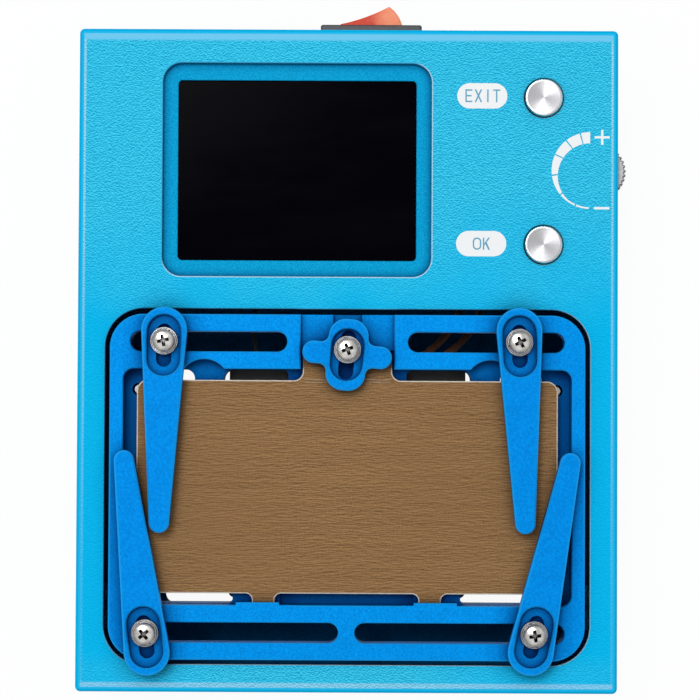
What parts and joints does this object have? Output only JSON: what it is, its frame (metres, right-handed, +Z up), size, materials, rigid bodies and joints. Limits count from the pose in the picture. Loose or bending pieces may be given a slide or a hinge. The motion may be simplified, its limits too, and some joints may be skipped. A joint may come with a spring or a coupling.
{
  "type": "desoldering station",
  "caption": "Bench heating station with a clamp frame, slotted swinging arms over a mould plate, a display, push buttons, a thumbwheel and a rocker switch.",
  "frame": {"origin": "centre of the bounding box, on the bench top under the rubber feet", "axes": "+Z up, +Y towards the back wall with the rocker switch and power socket, +X towards the thumbwheel's side"},
  "size_m": [0.116, 0.1454, 0.0453],
  "materials": {
    "sky_paint": "textured powder coat",
    "facia_blue": "smooth",
    "frame_blue_anodised": "satin anodised",
    "arm_blue_anodised": "satin anodised",
    "mould_bronze": "brushed, dark hard-anodised",
    "steel": "satin",
    "aluminium": "machined",
    "ceramic": "fired ceramic",
    "black_plastic": "moulded",
    "black_glass": "polished, opaque",
    "rubber": "matt",
    "rocker_red": "moulded",
    "board_green": "solder mask",
    "sleeve_brown": "glass-fibre sleeve",
    "sleeve_black": "insulation"
  },
  "bodies": {
    "chassis": {"top_shell": "sky_paint", "bottom_plate": "sky_paint", "clamp_frame": "frame_blue_anodised", "mould_plate": "mould_bronze", "heater_block": "aluminium", "ceramic_heater": "ceramic", "heater_carrier": "black_plastic", "carrier_screw_front": "steel", "carrier_screw_rear": "steel", "temperature_probe": "sleeve_black", "heater_lead_inner": "sleeve_brown", "heater_lead_outer": "sleeve_brown", "display_facia": "facia_blue", "display_glass": "black_glass", "display_panel": "aluminium", "control_board": "board_green", "tact_switch_exit": "black_plastic", "tact_switch_ok": "black_plastic", "encoder_base": "black_plastic", "power_socket": "black_plastic", "switch_housing": "black_plastic", "power_lead_socket": "sleeve_black", "power_lead_board": "sleeve_brown", "clamp_screw_centre": "steel", "foot_front_left": "rubber", "cover_screw_front_left": "steel", "pillar_front_left": "steel", "foot_front_right": "rubber", "cover_screw_front_right": "steel", "pillar_front_right": "steel", "foot_rear_left": "rubber", "cover_screw_rear_left": "steel", "pillar_rear_left": "steel", "foot_rear_right": "rubber", "cover_screw_rear_right": "steel", "pillar_rear_right": "steel"},
    "front_left_carriage": {"clamp_screw_front_left": "steel", "slot_nut_front_left": "steel"},
    "front_left_swivel": {"flat_washer_front_left": "steel"},
    "front_left_arm": {"arm_front_left": "arm_blue_anodised"},
    "front_right_carriage": {"clamp_screw_front_right": "steel", "slot_nut_front_right": "steel"},
    "front_right_swivel": {"flat_washer_front_right": "steel"},
    "front_right_arm": {"arm_front_right": "arm_blue_anodised"},
    "rear_left_carriage": {"clamp_screw_rear_left": "steel", "slot_nut_rear_left": "steel"},
    "rear_left_swivel": {"flat_washer_rear_left": "steel"},
    "rear_left_arm": {"arm_rear_left": "arm_blue_anodised"},
    "rear_right_carriage": {"clamp_screw_rear_right": "steel", "slot_nut_rear_right": "steel"},
    "rear_right_swivel": {"flat_washer_rear_right": "steel"},
    "rear_right_arm": {"arm_rear_right": "arm_blue_anodised"},
    "centre_swivel": {"flat_washer_centre": "steel"},
    "centre_clamp": {"centre_clamp": "arm_blue_anodised"},
    "rocker": {"rocker": "rocker_red"},
    "exit_button": {"exit_button": "steel"},
    "ok_button": {"ok_button": "steel"},
    "thumbwheel": {"thumbwheel": "steel"}
  },
  "joints": [
    {"name": "front_left_slide", "type": "slide", "parent": "chassis", "child": "front_left_carriage", "axis": [-1, 0, 0], "range_m": [0, 0.0012]},
    {"name": "front_left_swing", "type": "hinge", "parent": "front_left_carriage", "child": "front_left_swivel", "pos_m": [-0.0431, -0.06004, 0.0398], "axis": [0, 0, 1], "range_deg": [0, 75]},
    {"name": "front_left_extend", "type": "slide", "parent": "front_left_swivel", "child": "front_left_arm", "axis": [-0.1253, 0.9921, 0], "range_m": [-0.0021, 0.0037]},
    {"name": "front_right_slide", "type": "slide", "parent": "chassis", "child": "front_right_carriage", "axis": [1, 0, 0], "range_m": [-0.0011, 0.004]},
    {"name": "front_right_swing", "type": "hinge", "parent": "front_right_carriage", "child": "front_right_swivel", "pos_m": [0.0377, -0.06004, 0.0398], "axis": [0, 0, -1], "range_deg": [0, 75]},
    {"name": "front_right_extend", "type": "slide", "parent": "front_right_swivel", "child": "front_right_arm", "axis": [0.2028, 0.9792, 0], "range_m": [-0.0024, 0.0034]},
    {"name": "rear_left_slide", "type": "slide", "parent": "chassis", "child": "rear_left_carriage", "axis": [-1, 0, 0], "range_m": [-0.0228, 0]},
    {"name": "rear_left_swing", "type": "hinge", "parent": "rear_left_carriage", "child": "rear_left_swivel", "pos_m": [-0.0395, 0.00066, 0.0398], "axis": [0, 0, 1], "range_deg": [0, 60]},
    {"name": "rear_left_extend", "type": "slide", "parent": "rear_left_swivel", "child": "rear_left_arm", "axis": [-0.0209, -0.9998, 0], "range_m": [-0.0038, 0.002]},
    {"name": "rear_right_slide", "type": "slide", "parent": "chassis", "child": "rear_right_carriage", "axis": [1, 0, 0], "range_m": [-0.0204, 0]},
    {"name": "rear_right_swing", "type": "hinge", "parent": "rear_right_carriage", "child": "rear_right_swivel", "pos_m": [0.0345, 0.00066, 0.0398], "axis": [0, 0, -1], "range_deg": [0, 60]},
    {"name": "rear_right_extend", "type": "slide", "parent": "rear_right_swivel", "child": "rear_right_arm", "axis": [0.034, -0.9994, 0], "range_m": [-0.0037, 0.0021]},
    {"name": "centre_clamp_swing", "type": "hinge", "parent": "chassis", "child": "centre_swivel", "pos_m": [-0.0013, -0.00096, 0.0382], "axis": [0, 0, 1], "range_deg": [-3, 5]},
    {"name": "centre_clamp_slide", "type": "slide", "parent": "centre_swivel", "child": "centre_clamp", "axis": [0.0872, 0.9962, 0], "range_m": [-0.0013, 0.0035]},
    {"name": "rocker_tilt", "type": "hinge", "parent": "chassis", "child": "rocker", "pos_m": [0.0034, 0.06706, 0.0244], "axis": [0, 0, 1], "range_deg": [-40, 0]},
    {"name": "exit_press", "type": "slide", "parent": "chassis", "child": "exit_button", "axis": [0, 0, -1], "range_m": [0, 0.0005], "stiffness_N_per_m": 2500, "springref_m": -0.0002},
    {"name": "ok_press", "type": "slide", "parent": "chassis", "child": "ok_button", "axis": [0, 0, -1], "range_m": [0, 0.0005], "stiffness_N_per_m": 2500, "springref_m": -0.0002},
    {"name": "thumbwheel_turn", "type": "hinge", "parent": "chassis", "child": "thumbwheel", "pos_m": [0.0516, 0.03711, 0.0321], "axis": [0, 0, 1], "continuous": true}
  ]
}
